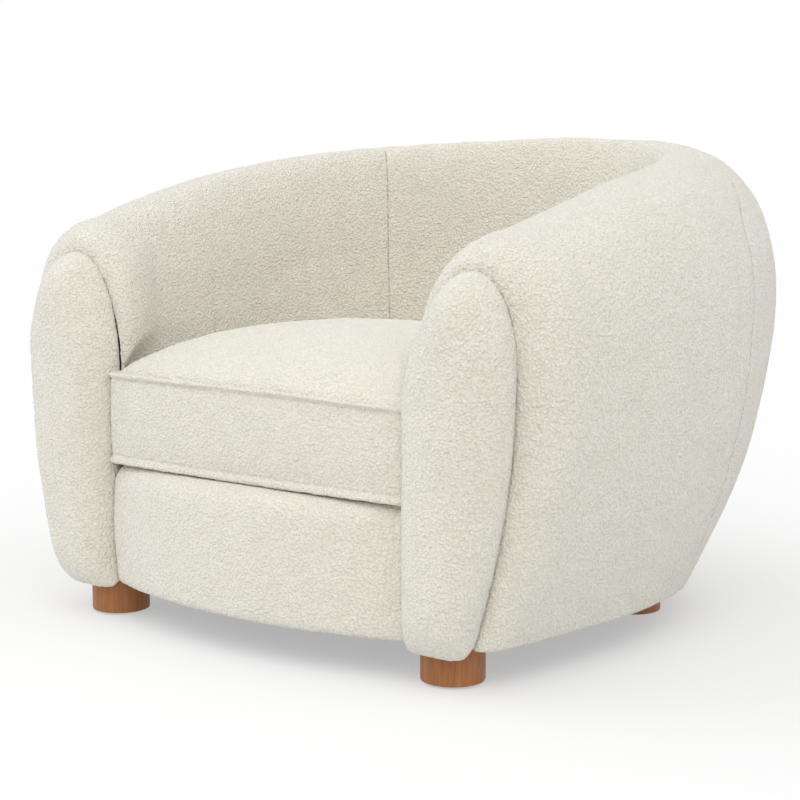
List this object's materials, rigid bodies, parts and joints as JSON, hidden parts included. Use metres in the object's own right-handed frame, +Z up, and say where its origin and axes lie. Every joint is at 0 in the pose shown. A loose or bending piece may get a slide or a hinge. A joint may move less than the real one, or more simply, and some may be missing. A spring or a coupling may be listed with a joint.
{
  "type": "upholstered armchair",
  "caption": "Barrel armchair with a wrap-around upholstered body, padded front pillows, a loose boxed seat cushion and short round wooden legs.",
  "frame": {"origin": "on the floor, under the middle of the chair's overall box", "axes": "+Z up, -Y towards the front of the chair, X across it"},
  "size_m": [1.09, 0.978, 0.733],
  "materials": {
    "looped_fabric": "matte",
    "deck_cloth": "matte",
    "dust_cloth": "matte",
    "foam": "matte",
    "webbing": "matte",
    "felt": "matte",
    "zip_tape": "matte",
    "zip_metal": "satin",
    "bolt_steel": "satin",
    "leg_wood": "satin",
    "frame_wood": "matte",
    "plywood": "matte"
  },
  "bodies": {
    "chair": {"arm_cover_left": "looped_fabric", "arm_cover_right": "looped_fabric", "arm_foam_left": "foam", "arm_foam_right": "foam", "arm_front_panel_left": "plywood", "arm_front_panel_right": "plywood", "arm_top_rail_left": "frame_wood", "arm_top_rail_right": "frame_wood", "back_cover": "looped_fabric", "back_foam": "foam", "back_post_centre": "frame_wood", "back_post_left": "frame_wood", "back_post_right": "frame_wood", "back_rail": "frame_wood", "back_top_rail": "frame_wood", "corner_block_front_left": "frame_wood", "corner_block_front_right": "frame_wood", "corner_block_rear_left": "frame_wood", "corner_block_rear_right": "frame_wood", "cross_strap_1": "webbing", "cross_strap_2": "webbing", "cross_strap_3": "webbing", "deck_cloth": "deck_cloth", "deck_pad": "foam", "dust_cover": "dust_cloth", "front_rail": "frame_wood", "front_rail_cover": "looped_fabric", "front_rail_pad": "foam", "leg_bolt_front_left": "bolt_steel", "leg_bolt_front_right": "bolt_steel", "leg_bolt_rear_left": "bolt_steel", "leg_bolt_rear_right": "bolt_steel", "leg_front_left": "leg_wood", "leg_front_right": "leg_wood", "leg_glide_front_left": "felt", "leg_glide_front_right": "felt", "leg_glide_rear_left": "felt", "leg_glide_rear_right": "felt", "leg_rear_left": "leg_wood", "leg_rear_right": "leg_wood", "lengthwise_strap_1": "webbing", "lengthwise_strap_2": "webbing", "lengthwise_strap_3": "webbing", "lengthwise_strap_4": "webbing", "lengthwise_strap_5": "webbing", "pillow_board_left": "plywood", "pillow_board_right": "plywood", "pillow_cover_left": "looped_fabric", "pillow_cover_right": "looped_fabric", "pillow_foam_left": "foam", "pillow_foam_right": "foam", "side_rail_left": "frame_wood", "side_rail_right": "frame_wood", "tack_rail_left": "frame_wood", "tack_rail_right": "frame_wood"},
    "seat_cushion": {"cushion_foam": "foam", "cushion_cover": "looped_fabric", "cushion_zip": "zip_tape"},
    "zip_slider": {"zip_slider": "zip_metal"}
  },
  "joints": [
    {"name": "seat_cushion_lift", "type": "slide", "parent": "chair", "child": "seat_cushion", "axis": [0, 0, 1], "range_m": [0, 0.52]},
    {"name": "zip_slider_run", "type": "hinge", "parent": "seat_cushion", "child": "zip_slider", "pos_m": [0, -0.057, 0.3108], "axis": [0, 0, -1], "range_deg": [0, 48]}
  ]
}
